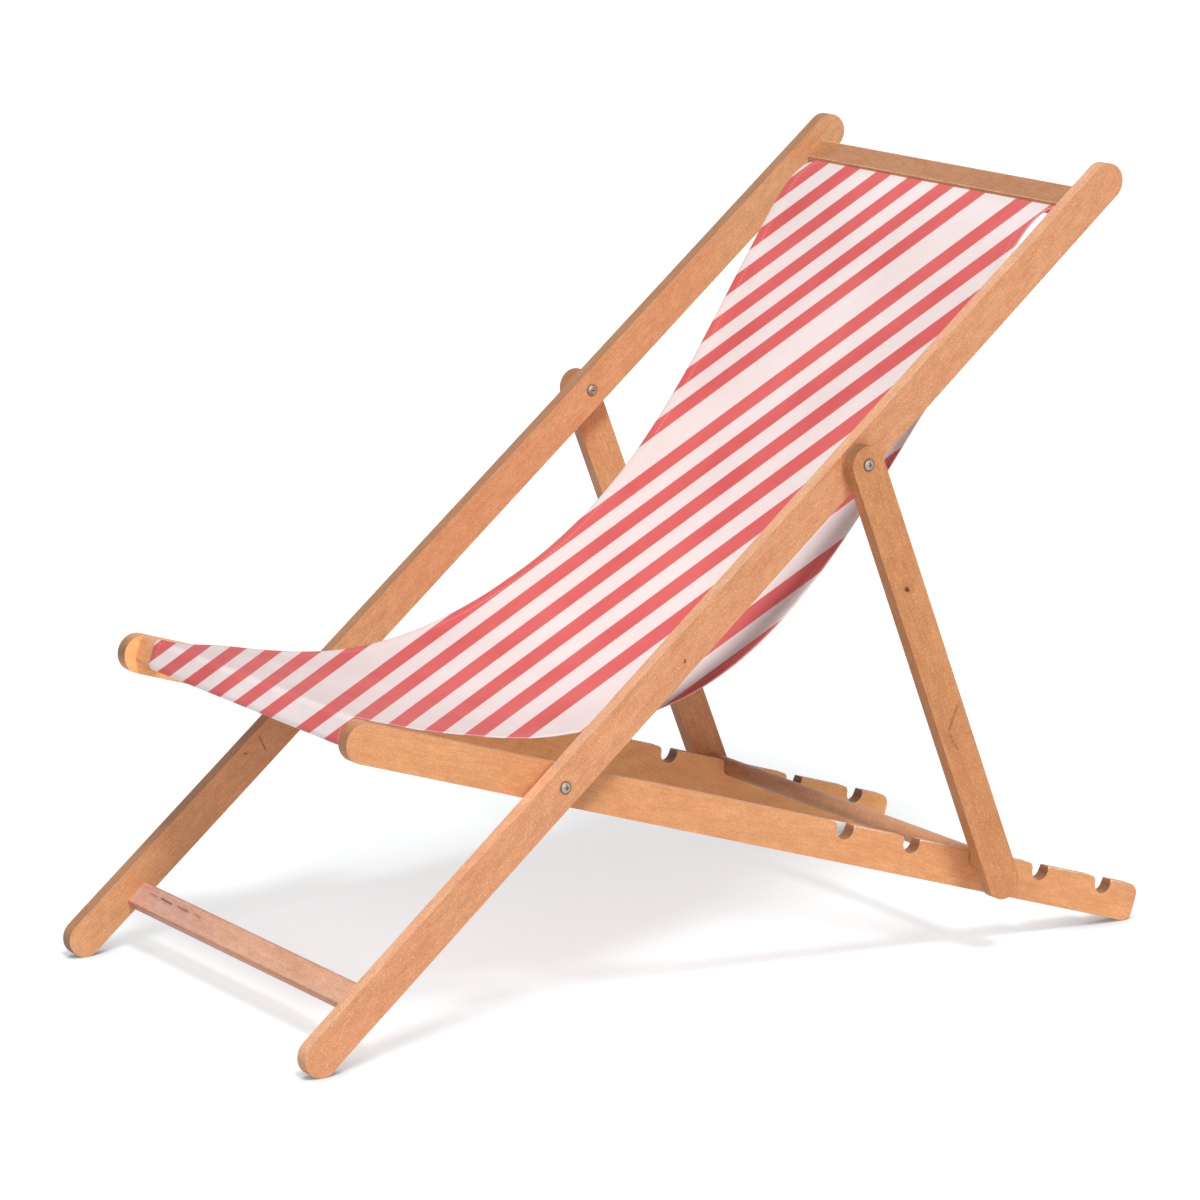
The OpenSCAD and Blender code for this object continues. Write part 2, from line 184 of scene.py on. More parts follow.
class Nodes:
    """A short way to write the node tree of a material or of the world."""

    def __init__(self, owner):
        self.owner = owner
        owner.use_nodes = True
        self.tree = owner.node_tree
        self.tree.nodes.clear()

    def add(self, kind, **values):
        node = self.tree.nodes.new(kind)
        for key, value in values.items():
            setattr(node, key, value)
        return node

    def link(self, a, b):
        self.tree.links.new(a, b)

    def put(self, socket, value):
        if isinstance(value, bpy.types.NodeSocket):
            self.link(value, socket)
        else:
            socket.default_value = value

    def math(self, operation, a, b=0.0, c=0.0, clamp=False):
        node = self.add("ShaderNodeMath", operation=operation, use_clamp=clamp)
        for socket, value in zip(node.inputs, (a, b, c)):
            self.put(socket, value)
        return node.outputs[0]

    def remap(self, value, low, high, to_low=0.0, to_high=1.0, smooth=False):
        node = self.add("ShaderNodeMapRange")
        if smooth:
            node.interpolation_type = "SMOOTHSTEP"
        for socket, v in zip(node.inputs, (value, low, high, to_low, to_high)):
            self.put(socket, v)
        return node.outputs["Result"]

    def mix(self, factor, a, b, blend="MIX"):
        node = self.add("ShaderNodeMix", data_type="RGBA", blend_type=blend)
        for i, value in ((0, factor), (6, a), (7, b)):
            self.put(node.inputs[i], value)
        return node.outputs[2]

    def stretch(self, vector, scale, location=(0, 0, 0)):
        node = self.add("ShaderNodeMapping")
        self.link(vector, node.inputs["Vector"])
        node.inputs["Scale"].default_value = scale
        node.inputs["Location"].default_value = location
        return node.outputs[0]

    def noise(self, vector, scale=1.0, detail=2.0, roughness=0.5, distortion=0.0):
        node = self.add("ShaderNodeTexNoise")
        self.link(vector, node.inputs["Vector"])
        node.inputs["Scale"].default_value = scale
        node.inputs["Detail"].default_value = detail
        node.inputs["Roughness"].default_value = roughness
        node.inputs["Distortion"].default_value = distortion
        return node.outputs["Fac"]

    def shader(self, color, roughness, bump=None, bump_strength=0.2, bump_distance=MM, **constants):
        node = self.add("ShaderNodeBsdfPrincipled")
        self.put(node.inputs["Base Color"], color)
        self.put(node.inputs["Roughness"], roughness)
        for key, value in constants.items():
            node.inputs[key.replace("_", " ")].default_value = value
        if bump is not None:
            height = self.add("ShaderNodeBump")
            height.inputs["Strength"].default_value = bump_strength
            height.inputs["Distance"].default_value = bump_distance
            self.link(bump, height.inputs["Height"])
            self.link(height.outputs[0], node.inputs["Normal"])
        out = self.add("ShaderNodeOutputMaterial")
        self.link(node.outputs[0], out.inputs[0])
        return self.owner

    def distance(self, a, b):
        """Distance between two places; the second may be a constant."""
        node = self.add("ShaderNodeVectorMath", operation="DISTANCE")
        self.link(a, node.inputs[0])
        self.put(node.inputs[1], b)
        return node.outputs["Value"]

    def separate(self, vector):
        node = self.add("ShaderNodeSeparateXYZ")
        self.link(vector, node.inputs[0])
        return node.outputs

    def seen_directly(self):
        """1 for rays from the camera and for what metal and glass show, 0 for the light."""
        ray = self.add("ShaderNodeLightPath")
        seen = self.math("MAXIMUM", ray.outputs["Is Camera Ray"], ray.outputs["Is Glossy Ray"])
        return self.math("MAXIMUM", seen, ray.outputs["Is Transmission Ray"])

    def finish_mixed(self, share, first, second, output_kind):
        """End the tree with a mix of two shader nodes."""
        mixed = self.add("ShaderNodeMixShader")
        self.link(share, mixed.inputs[0])
        self.link(first.outputs[0], mixed.inputs[1])
        self.link(second.outputs[0], mixed.inputs[2])
        out = self.add(output_kind)
        self.link(mixed.outputs[0], out.inputs[0])
        return self.owner


def srgb(r, g, b):
    """A colour given as 0 to 255 display values, as the shader's linear RGBA."""
    def linear(v):
        v = v / 255
        return v / 12.92 if v <= 0.04045 else ((v + 0.055) / 1.055) ** 2.4
    return (linear(r), linear(g), linear(b), 1.0)


def scaled(color, *factors):
    """A colour with its red, green and blue multiplied."""
    return tuple(c * f for c, f in zip(color[:3], factors)) + (1.0,)


# Colours of the painted highlight on arrises and of the pale flecks, of the painted shade on arrises and
# in the notches, and of stains and the painted shadow round bolt heads
WOOD_ARRIS = srgb(255, 234, 204)
WOOD_PAINTED_SHADE = srgb(112, 76, 52)
WOOD_STAIN_AND_SHADOW = srgb(88, 46, 26)


def grain_places(n, place, grain_angle, seed):
    """Coordinates whose Y runs along the grain, plain and gently bent."""
    align = n.add("ShaderNodeMapping")
    n.link(place, align.inputs["Vector"])
    if grain_angle is None:
        align.inputs["Rotation"].default_value = (0, 0, math.pi / 2)
    else:
        align.inputs["Rotation"].default_value = (-grain_angle, 0, 0)
    align.inputs["Location"].default_value = (seed, seed * 1.7, seed * 0.6)
    grain = align.outputs[0]
    bend = n.noise(n.stretch(grain, (3, 2.2, 3)), detail=2)
    bent = n.add("ShaderNodeVectorMath", operation="MULTIPLY_ADD")
    n.link(bend, bent.inputs[0])
    bent.inputs[1].default_value = (0.03, 0.0, 0.045)
    n.link(grain, bent.inputs[2])
    return grain, bent.outputs[0]


def growth_rings(n, bent):
    """Wavering growth rings round the grain."""
    node = n.add("ShaderNodeTexWave", wave_type="RINGS", rings_direction="Y")
    n.link(n.stretch(bent, (110, 4, 110), (0.9, 0, 1.4)), node.inputs["Vector"])
    node.inputs["Scale"].default_value = 1.0
    node.inputs["Distortion"].default_value = 3.5
    node.inputs["Detail"].default_value = 3
    node.inputs["Detail Scale"].default_value = 0.9
    return node.outputs["Fac"]


def stained(n, place, color, dark, mottle, marks):
    """The colour with its cracks and knots, and the share of stain at each place."""
    stain = None
    for start, finish, radius, strength in marks:
        axis = finish - start
        away = n.add("ShaderNodeVectorMath", operation="SUBTRACT")
        n.link(place, away.inputs[0])
        away.inputs[1].default_value = start
        along = n.add("ShaderNodeVectorMath", operation="DOT_PRODUCT")
        n.link(away.outputs[0], along.inputs[0])
        along.inputs[1].default_value = axis / max(axis.length_squared, 1e-12)
        share = n.math("ADD", along.outputs["Value"], 0.0, clamp=True)
        nearest = n.add("ShaderNodeVectorMath", operation="SCALE")
        nearest.inputs[0].default_value = axis
        n.link(share, nearest.inputs["Scale"])
        off = n.distance(away.outputs[0], nearest.outputs[0])
        ragged = n.math("ADD", off, n.math("MULTIPLY", mottle, radius * 1.6))
        ragged = n.math("SUBTRACT", ragged, radius * 0.7)
        spot = n.remap(ragged, radius * 0.4, radius * 1.4, strength, 0.0, smooth=True)
        halo = n.remap(ragged, radius, radius * 4.0, 0.3 * strength, 0.0, smooth=True)
        color = n.mix(halo, color, dark)
        color = n.mix(spot, color, WOOD_STAIN_AND_SHADOW)
        stain = spot if stain is None else n.math("MAXIMUM", stain, spot)
    return color, stain


def arris_light_and_shade(n, color, grain):
    """The colour with its arrises: a painted highlight, broken into flecks, towards +X, and painted
    shade away from it.
    """
    arris = n.add("ShaderNodeAttribute", attribute_name="arris").outputs["Fac"]
    chips = n.noise(n.stretch(grain, (600, 230, 600)), detail=2, roughness=0.7)
    pale = n.math("MULTIPLY", n.math("MAXIMUM", arris, 0.0), n.remap(chips, 0.36, 0.58, 0.3, 1.0))
    color = n.mix(pale, color, WOOD_ARRIS)
    painted_shade = n.math("MAXIMUM", n.math("MULTIPLY", arris, -1.0), 0.0)
    painted_shade = n.math("MULTIPLY", painted_shade, n.remap(chips, 0.34, 0.6, 0.75, 0.25))
    return n.mix(painted_shade, color, WOOD_PAINTED_SHADE)


def wood(name, grain_angle=None, tone=(220, 155, 113), edge=(1, 1, 1), end=0.62, seed=0.0,
         marks=(), far_tone=None, bolts=(), sparkle=0.3):
    """Varnished hardwood whose grain runs along a frame's rails, or along X if no angle is given.

    tone is the mean colour, edge multiplies it on the narrow faces as painted highlight where above 1
    and painted shade where below, and end on the end grain.
    marks are (start, end, radius, strength): stained cracks and knots in the chair's own place.
    far_tone is another mean colour, reached at the far end of a cross rail.
    bolts are places on the faces round which a ring of painted shadow lies under the metal heads.
    sparkle is the strength of the pale flecks in the varnish.
    """
    n = Nodes(bpy.data.materials.new(name))
    place = n.add("ShaderNodeTexCoord").outputs["Object"]
    grain, bent = grain_places(n, place, grain_angle, seed)

    def figure(across, along, detail, roughness=0.5, start=(0, 0, 0)):
        """Noise drawn out along the grain, in repeats per metre across and along it."""
        vector = n.stretch(bent, (across, along, across), start)
        return n.noise(vector, detail=detail, roughness=roughness)

    band = figure(30, 5, 3)
    mottle = figure(100, 45, 3, 0.6)
    warm = figure(50, 18, 2, start=(4, 1, 7))
    streak = figure(420, 14, 4, 0.62)
    fine = figure(1000, 110, 3, 0.65)
    fleck = figure(1500, 210, 2, 0.6)
    speckle = n.noise(grain, scale=560, detail=2, roughness=0.75)
    rings = growth_rings(n, bent)

    mean = srgb(*tone)
    pale = scaled(mean, 1.13, 1.17, 1.14)
    reddish = scaled(mean, 1.0, 0.9, 0.84)
    dark = scaled(mean, 0.75, 0.58, 0.44)
    pore_brown = scaled(mean, 0.66, 0.44, 0.29)
    color = mean
    if far_tone:
        far_share = n.remap(n.separate(place)[0], 0.02, -0.16, smooth=True)
        color = n.mix(far_share, color, srgb(*far_tone))
    color = n.mix(n.remap(band, 0.34, 0.66, 0.0, 0.55), color, pale)
    color = n.mix(n.remap(warm, 0.42, 0.68, 0.0, 0.5), color, reddish)
    color = n.mix(n.remap(streak, 0.48, 0.74, 0.0, 0.34), color, dark)
    color = n.mix(n.remap(rings, 0.5, 1.0, 0.0, 0.08), color, dark)
    shade = n.math("MULTIPLY", n.remap(mottle, 0.3, 0.7, 0.91, 1.11), n.remap(fine, 0.3, 0.7, 0.92, 1.1))
    shade = n.math("MULTIPLY", shade, n.remap(speckle, 0.3, 0.7, 0.84, 1.18))
    # Darker grain is also redder
    deepen = n.add("ShaderNodeCombineColor")
    for socket, power in zip(deepen.inputs, (0.72, 1.0, 1.25)):
        n.link(n.math("POWER", shade, power), socket)
    color = n.mix(1.0, color, deepen.outputs[0], blend="MULTIPLY")
    color = n.mix(n.remap(speckle, 0.62, 0.74, 0.0, sparkle), color, WOOD_ARRIS)
    pore = n.remap(fleck, 0.58, 0.74, 0.0, 0.4)
    color = n.mix(pore, color, pore_brown)

    # Narrow faces: painted highlight where edge is above 1, painted shade where it is below. End grain:
    # darker wood.
    for attribute, factors in (("narrow", edge), ("end_grain", (end, end * 0.94, end * 0.9))):
        share = n.add("ShaderNodeAttribute", attribute_name=attribute).outputs["Fac"]
        color = n.mix(share, color, n.mix(1.0, color, (*factors, 1.0), blend="MULTIPLY"))

    color, stain = stained(n, place, color, dark, mottle, marks)
    color = arris_light_and_shade(n, color, grain)
    # A ring of painted shadow round each metal head
    for centre in bolts:
        off = n.distance(place, centre)
        ring = n.remap(off, HEAD_D * 0.5, HEAD_D * 0.78, 0.75, 0.0, smooth=True)
        color = n.mix(ring, color, WOOD_STAIN_AND_SHADOW)

    height = n.math("SUBTRACT", n.math("MULTIPLY", fine, 0.6), pore)
    height = n.math("SUBTRACT", height, n.math("MULTIPLY", rings, 0.15))
    if stain is not None:
        height = n.math("SUBTRACT", height, stain)
    roughness = n.remap(fine, 0.3, 0.7, 0.40, 0.56)
    return n.shader(color, roughness, height, 0.3, 0.15 * MM, Specular_IOR_Level=0.3)


def arc(centre, radius, start, end, steps):
    """Points on an arc, angles in degrees."""
    points = []
    for i in range(steps + 1):
        a = math.radians(start + (end - start) * i / steps)
        points.append((centre[0] + radius * math.cos(a), centre[1] + radius * math.sin(a)))
    return points


def tidy(points, least=0.05 * MM):
    """The outline without points that lie on each other."""
    kept = []
    for p in points:
        if not kept or math.dist(p, kept[-1]) > least:
            kept.append(p)
    if math.dist(kept[0], kept[-1]) <= least:
        kept.pop()
    return kept


def finish_mesh(name, bm, material, body, nodes):
    """Make the object, give it its material, say what it rides on and hide the pieces of the model that
    it replaces.

    Stiff pieces name their body and get even shading; the canvas gets neither.
    """
    bmesh.ops.recalc_face_normals(bm, faces=bm.faces)
    mesh = bpy.data.meshes.new(name)
    bm.to_mesh(mesh)
    bm.free()
    for polygon in mesh.polygons:
        polygon.use_smooth = True
    mesh.set_sharp_from_angle(angle=math.radians(50))
    mesh.materials.append(material)
    obj = bpy.data.objects.new(name, mesh)
    bpy.context.scene.collection.objects.link(obj)
    if body:
        even = obj.modifiers.new("even shading", "WEIGHTED_NORMAL")
        even.keep_sharp = True
        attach(obj, body)
    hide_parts(*nodes)
    return obj


def edge_and_end_layers(bm):
    """Vertex layers that the wood reads: rounded arrises and narrow faces, which carry painted highlight
    and shade, and end grain.
    """
    return [bm.verts.layers.float.new(name) for name in ("arris", "narrow", "end_grain")]


def board(outline, plane, x0, x1, cuts=(), in_shade=None):
    """A flat member: its side outline raised from x0 to x1, with rounded arrises.

    The wide faces are cut at the given places along the plane, to keep them simple.
    in_shade(s, t) tells whether a place on the narrow faces gets painted shade.
    """
    bm = bmesh.new()
    arris, narrow, end_grain = edge_and_end_layers(bm)
    low = [bm.verts.new(plane.at(s, t, x0)) for s, t in tidy(outline)]
    high = [bm.verts.new(plane.at(s, t, x1)) for s, t in tidy(outline)]
    caps = [bm.faces.new(low), bm.faces.new(high)]
    count = len(low)
    for i in range(count):
        k = (i + 1) % count
        bm.faces.new((low[i], low[k], high[k], high[i]))
    edges = [e for face in caps for e in face.edges]
    bmesh.ops.bevel(
        bm, geom=edges, offset=ARRIS_R, offset_type="OFFSET", segments=4,
        profile=0.5, affect="EDGES", clamp_overlap=True,
    )
    for s in cuts:
        bmesh.ops.bisect_plane(
            bm, geom=bm.verts[:] + bm.edges[:] + bm.faces[:], dist=0.01 * MM,
            plane_co=plane.at(s, 0), plane_no=plane.along,
        )
    bmesh.ops.recalc_face_normals(bm, faces=bm.faces)
    bm.normal_update()
    for vert in bm.verts:
        tilts = [abs(face.normal.x) for face in vert.link_faces]
        if max(tilts) > 0.999:
            continue
        if min(tilts) < 0.001:
            vert[narrow] = 1.0
            away = vert.co - plane.origin
            # Narrow faces inside the notches get painted shade
            if in_shade and in_shade(away.dot(plane.along), away.dot(plane.across)):
                vert[arris] = -NOTCH_SHADE
        else:
            vert[narrow] = 0.5
            # Arrises towards +X get a painted highlight, those away from it painted shade
            vert[arris] = 1.0 if vert.co.x > (x0 + x1) / 2 else -1.0
        vert[end_grain] = vert[narrow] * vert.normal.dot(plane.along) ** 2
    return bm


def round_bar_outline(s0, s1):
    """Side outline of a rail with round ends, whose arcs are centred at s0 and s1."""
    return arc((s1, 0), END_R, -90, 90, 28) + arc((s0, 0), END_R, 90, 270, 28)


def seat_rail_outline():
    """Side outline of a seat rail: square rear with eased corners, notches, round front."""
    rear_s = SEAT_REAR_LEN - REAR_CORNER_R
    rear_t = SEAT_R - REAR_CORNER_R
    points = arc((rear_s, -rear_t), REAR_CORNER_R, -90, 0, 10)
    points += arc((rear_s, rear_t), REAR_CORNER_R, 0, 90, 10)
    radius = NOTCH_W / 2
    floor_t = SEAT_R - NOTCH_DEPTH + radius
    lip = 1.2 * MM
    for i in reversed(range(NOTCH_COUNT)):
        s = NOTCH_FIRST + i * NOTCH_PITCH
        points += arc((s + radius + lip, SEAT_R - lip), lip, 90, 180, 4)
        points += arc((s, floor_t), radius, 0, -180, 20)
        shoulder = (s - radius - NOTCH_SHOULDER_R, SEAT_R - NOTCH_SHOULDER_R)
        points += arc(shoulder, NOTCH_SHOULDER_R, 0, 90, 8)
    points += arc((-SEAT_FRONT_LEN, 0), SEAT_R, 90, 270, 28)
    return points


def in_notch(s, t):
    """Whether a place on a seat rail's edge lies inside one of its notches."""
    nearest = round((s - NOTCH_FIRST) / NOTCH_PITCH)
    off = abs(s - NOTCH_FIRST - nearest * NOTCH_PITCH)
    return 0 <= nearest < NOTCH_COUNT and off < NOTCH_W / 2 + 0.1 * MM and abs(t) < SEAT_R - 2 * MM


def cross_rail_outline(s, t, w, h, chamfer=0.0, front_r=ARRIS_R):
    """Section of a flat cross rail; its front lower edge may be chamfered, its front rounder."""
    r = ARRIS_R
    left, right, low, high = s - w / 2, s + w / 2, t - h / 2, t + h / 2
    points = arc((left + front_r, low + front_r), front_r, 180, 270, 6)
    points += arc((right - r, low + r), r, 270, 360, 4)
    points += arc((right - r, high - r), r, 0, 90, 4)
    if chamfer:
        points += arc((left + chamfer + r / 2, high - r / 2), r / 2, 90, 135, 3)
        points += arc((left + r / 2, high - chamfer - r / 2), r / 2, 135, 180, 3)
    else:
        points += arc((left + front_r, high - front_r), front_r, 90, 180, 6)
    return points


def cross_rail(plane, section, half_span, arris_light=0.7):
    """A cross rail between two side members; the arrises run along X.

    arris_light is the strength of the painted highlight on the arrises, or of painted shade if it is
    negative.
    """
    bm = bmesh.new()
    arris, narrow, _ = edge_and_end_layers(bm)
    rings = []
    steps = 24
    points = tidy(section)
    for i in range(steps + 1):
        x = -half_span + 2 * half_span * i / steps
        rings.append([bm.verts.new(plane.at(s, t, x)) for s, t in points])
    count = len(points)
    for a, b in zip(rings, rings[1:]):
        for i in range(count):
            k = (i + 1) % count
            bm.faces.new((a[i], a[k], b[k], b[i]))
    bm.faces.new(rings[0])
    bm.faces.new(rings[-1])
    # Points inside a rounded arris have short edges on both sides
    front_s = min(s for s, t in points)
    for ring in rings:
        for i, vert in enumerate(ring):
            before = (vert.co - ring[i - 1].co).length
            after = (vert.co - ring[(i + 1) % count].co).length
            vert[arris] = arris_light if max(before, after) < 1.2 * MM else 0.0
            vert[narrow] = 1.0 if points[i][0] < front_s + 0.5 * MM else 0.0
    return bm


def lathe(bm, centre, direction, profile, segments=48, caps=(True, True)):
    """Turn a profile of (distance along direction, radius) round the X axis through centre.

    A radius may be a function of the angle.
    """
    rings = []
    for along, radius in profile:
        ring = []
        for i in range(segments):
            a = 2 * math.pi * i / segments
            r = radius(a) if callable(radius) else radius
            offset = Vector((direction * along, r * math.cos(a), r * math.sin(a)))
            ring.append(bm.verts.new(centre + offset))
        rings.append(ring)
    for a, b in zip(rings, rings[1:]):
        for i in range(segments):
            k = (i + 1) % segments
            bm.faces.new((a[i], a[k], b[k], b[i]))
    if caps[0]:
        bm.faces.new(rings[0])
    if caps[1]:
        bm.faces.new(rings[-1])
    return rings


def back_mark(x, s0, t0, s1, t1, radius, strength):
    """A crack or knot on the face of a back rail that lies at x."""
    return (back.at(s0, t0, x), back.at(s1, t1, x), radius, strength)


def leg_mark(s0, t0, s1, t1, radius, strength):
    """A crack or knot on the outer face of the left leg."""
    return (prop.at(s0, t0, LEG_OUT), prop.at(s1, t1, LEG_OUT), radius, strength)


def foot_mark(x0, x1, radius, strength):
    """A crack on the foot rail's upper face, slightly aslant."""
    s = FOOT_RAIL_INSET - FOOT_LEN + 5 * MM
    t = FOOT_RAIL[1] - END_R
    return (back.at(s, t, x0), back.at(s - MM, t, x1), radius, strength)


BACK_MARKS = {
    "left": [back_mark(BACK_OUT, 0.1845, -0.006, 0.1865, -0.005, 1.6 * MM, 0.9)],
    "right": [
        back_mark(-BACK_IN, -0.083, 0.012, -0.087, -0.004, 0.9 * MM, 0.8),
        back_mark(-BACK_IN, -0.106, 0.010, -0.108, 0.011, 1.0 * MM, 0.8),
    ],
}
LEG_MARKS = [
    leg_mark(0.148, -0.003, 0.150, -0.002, 3.0 * MM, 1.0),
    leg_mark(0.300, 0.012, 0.318, -0.006, 2.2 * MM, 0.35),
    leg_mark(0.325, -0.008, 0.345, -0.004, 2.5 * MM, 0.3),
]
FOOT_MARKS = [
    foot_mark(-0.222, -0.205, 0.9 * MM, 0.5),
    foot_mark(-0.196, -0.172, 1.2 * MM, 0.8),
    foot_mark(-0.160, -0.136, 1.3 * MM, 0.6),
    foot_mark(-0.124, -0.108, 0.9 * MM, 0.5),
]


def on_face(pivot, x):
    """Where a pivot's axis meets a face."""
    return Vector((x, pivot.y, pivot.z))


wood_back = {
    "left": wood("back rail wood left", back.angle, (216, 152, 110), (1.12, 1.3, 1.5), seed=0.0,
                 marks=BACK_MARKS["left"], bolts=[on_face(seat_pivot, BACK_OUT)], sparkle=0.6),
    "right": wood("back rail wood right", back.angle, (210, 154, 110), (0.62, 0.6, 0.6), 0.5,
                  seed=3.1, marks=BACK_MARKS["right"], bolts=[on_face(prop_pivot, -BACK_IN)]),
}
wood_seat = {
    "left": wood("seat rail wood left", seat.angle, (222, 157, 108), (0.8, 0.8, 0.82), 0.6,
                 seed=5.2),
    # The right seat rail's tone is raised above its wood's: painted light that lifts the shade the
    # canvas casts on it
    "right": wood("seat rail wood right", seat.angle, (255, 188, 126), (0.7, 0.7, 0.74), 0.4,
                  seed=8.3),
}
wood_leg = {
    "left": wood("leg wood left", prop.angle, (202, 139, 92), (0.76, 0.76, 0.7), seed=11.4,
                 marks=LEG_MARKS, bolts=[on_face(prop_pivot, LEG_OUT)]),
    "right": wood("leg wood right", prop.angle, (217, 154, 105), (0.76, 0.76, 0.74), seed=13.9),
}
wood_top = wood("top rail wood", None, (183, 129, 92), seed=16.5)
wood_foot = wood("foot rail wood", None, (213, 163, 135), (0.8, 0.68, 0.62), seed=19.2,
                 marks=FOOT_MARKS, far_tone=(196, 154, 142))
wood_front = wood("front bar wood", None, (216, 154, 110), seed=21.7)
wood_bar = wood("prop bar wood", None, (194, 145, 107), seed=24.1)

notch_cuts = [NOTCH_FIRST + (i / 2 - 0.5) * NOTCH_PITCH + 0.3 * MM for i in range(2 * NOTCH_COUNT + 1)]
for side, sign in SIDES:
    finish_mesh(
        f"back_rail_{side}_board",
        board(round_bar_outline(-FOOT_LEN, BACK_LEN), back, sign * BACK_IN, sign * BACK_OUT),
        wood_back[side], "back_frame", [f"back_rail_{side}"],
    )
    finish_mesh(
        f"seat_rail_{side}_board",
        board(seat_rail_outline(), seat, sign * SEAT_IN, sign * SEAT_OUT, notch_cuts, in_notch),
        wood_seat[side], "seat_frame", [f"seat_rail_{side}"],
    )
    finish_mesh(
        f"prop_leg_{side}_board",
        board(round_bar_outline(0, PROP_LEN + PROP_TAIL), prop, sign * LEG_IN, sign * LEG_OUT),
        wood_leg[side], "prop_frame", [f"prop_leg_{side}"],
    )

top_rail_s = BACK_LEN - TOP_RAIL_INSET
top_section = cross_rail_outline(top_rail_s, -TOP_RAIL[1] / 2, *TOP_RAIL, TOP_CHAMFER)
finish_mesh(
    "top_rail_board", cross_rail(back, top_section, BACK_IN),
    wood_top, "back_frame", ["top_rail"],
)
foot_rail_t = FOOT_RAIL[1] / 2 - END_R
foot_section = cross_rail_outline(FOOT_RAIL_INSET - FOOT_LEN, foot_rail_t, *FOOT_RAIL)
finish_mesh(
    "foot_rail_board", cross_rail(back, foot_section, BACK_IN, arris_light=-0.6),
    wood_foot, "back_frame", ["foot_rail"],
)
front_bar_s = -SEAT_FRONT_LEN
front_bar_t = SEAT_R - FRONT_BAR[1] / 2
front_section = cross_rail_outline(front_bar_s, front_bar_t, *FRONT_BAR, front_r=FRONT_BAR_R)
finish_mesh(
    "seat_front_bar_board", cross_rail(seat, front_section, SEAT_IN),
    wood_front, "seat_frame", ["seat_front_bar"],
)

bar_mesh = bmesh.new()
bar_r = PROP_BAR_D / 2
bar_ease = 0.8 * MM
bar_profile = [(0, bar_r - bar_ease), (bar_ease * 0.3, bar_r - bar_ease * 0.3), (bar_ease, bar_r)]
bar_length = 2 * LEG_IN
bar_profile += [(bar_length * i / 20, bar_r) for i in range(1, 20)]
bar_profile += [(bar_length - d, r) for d, r in reversed(bar_profile[:3])]
lathe(bar_mesh, Vector((-LEG_IN, bar_centre.y, bar_centre.z)), 1, bar_profile, 64)
finish_mesh("prop_bar_dowel", bar_mesh, wood_bar, "prop_frame", ["prop_bar"])


def steel(name, color, roughness_low, roughness_high):
    """Plated steel with fine turning marks and dull spots."""
    n = Nodes(bpy.data.materials.new(name))
    place = n.add("ShaderNodeTexCoord").outputs["Object"]
    brushed = n.noise(n.stretch(place, (2500, 400, 400)), detail=2)
    dull = n.noise(n.stretch(place, (350, 350, 350)), detail=3)
    shade = n.mix(n.remap(dull, 0.35, 0.7, 0.0, 0.35), color, scaled(color, 0.6, 0.6, 0.6))
    rough = n.remap(dull, 0.3, 0.7, roughness_low, roughness_high)
    return n.shader(shade, rough, brushed, 0.15, 0.05 * MM, Metallic=1.0)


plated = steel("plated steel", srgb(176, 170, 162), 0.2, 0.4)
washer_steel = steel("washer steel", srgb(176, 172, 166), 0.35, 0.55)
tack_steel = steel("tack steel", srgb(120, 116, 110), 0.35, 0.6)


def cross_recess(angle):
    """Radius of a cross-shaped screwdriver recess at an angle."""
    half_long = 2.5 * MM
    half_wide = 0.75 * MM
    c = max(abs(math.cos(angle)), 1e-6)
    s = max(abs(math.sin(angle)), 1e-6)
    return max(min(half_long / c, half_wide / s), min(half_long / s, half_wide / c))


def slot_recess(angle):
    """Radius of a straight screwdriver slot at an angle."""
    half_long = 4.3 * MM
    half_wide = 0.6 * MM
    c = max(abs(math.cos(angle)), 1e-6)
    s = max(abs(math.sin(angle)), 1e-6)
    return min(half_long / c, half_wide / s)


def low_head(bm, centre, direction, recess, shank_r, shank_len):
    """A low domed head whose flat side lies at centre, with its shank behind it."""
    radius = HEAD_D / 2
    edge = HEAD_H / 3
    rise = HEAD_H - edge
    sphere_r = (radius ** 2 + rise ** 2) / (2 * rise)
    ease = 0.2 * MM
    profile = [(-shank_len, shank_r), (0, shank_r), (0, radius - ease), (ease, radius), (edge, radius)]
    for share in (0.95, 0.88, 0.78, 0.66, 0.56, 0.5):
        r = radius * share
        profile.append((HEAD_H - sphere_r + math.sqrt(sphere_r ** 2 - r ** 2), r))
    top = profile[-1][0]
    profile.append((top + 0.05 * MM, recess))
    profile.append((top - 0.25 * MM, lambda a: recess(a) * 0.96))
    profile.append((top - 1.8 * MM, lambda a: recess(a) * 0.7))
    lathe(bm, centre, direction, profile, 96)


def washer(bm, centre, length):
    """A flat ring with eased edges, standing from centre along +X."""
    outer, inner, ease = WASHER_D / 2, BOLT_D / 2 + 0.05 * MM, 0.4 * MM
    section = arc((ease, outer - ease), ease, 180, 90, 4)
    section += arc((length - ease, outer - ease), ease, 90, 0, 4)
    section += arc((length - ease / 2, inner + ease / 2), ease / 2, 0, -90, 2)
    section += arc((ease / 2, inner + ease / 2), ease / 2, -90, -180, 2)
    section.append(section[0])
    lathe(bm, centre, 1, section, 48, (False, False))
    bmesh.ops.remove_doubles(bm, verts=bm.verts, dist=1e-7)


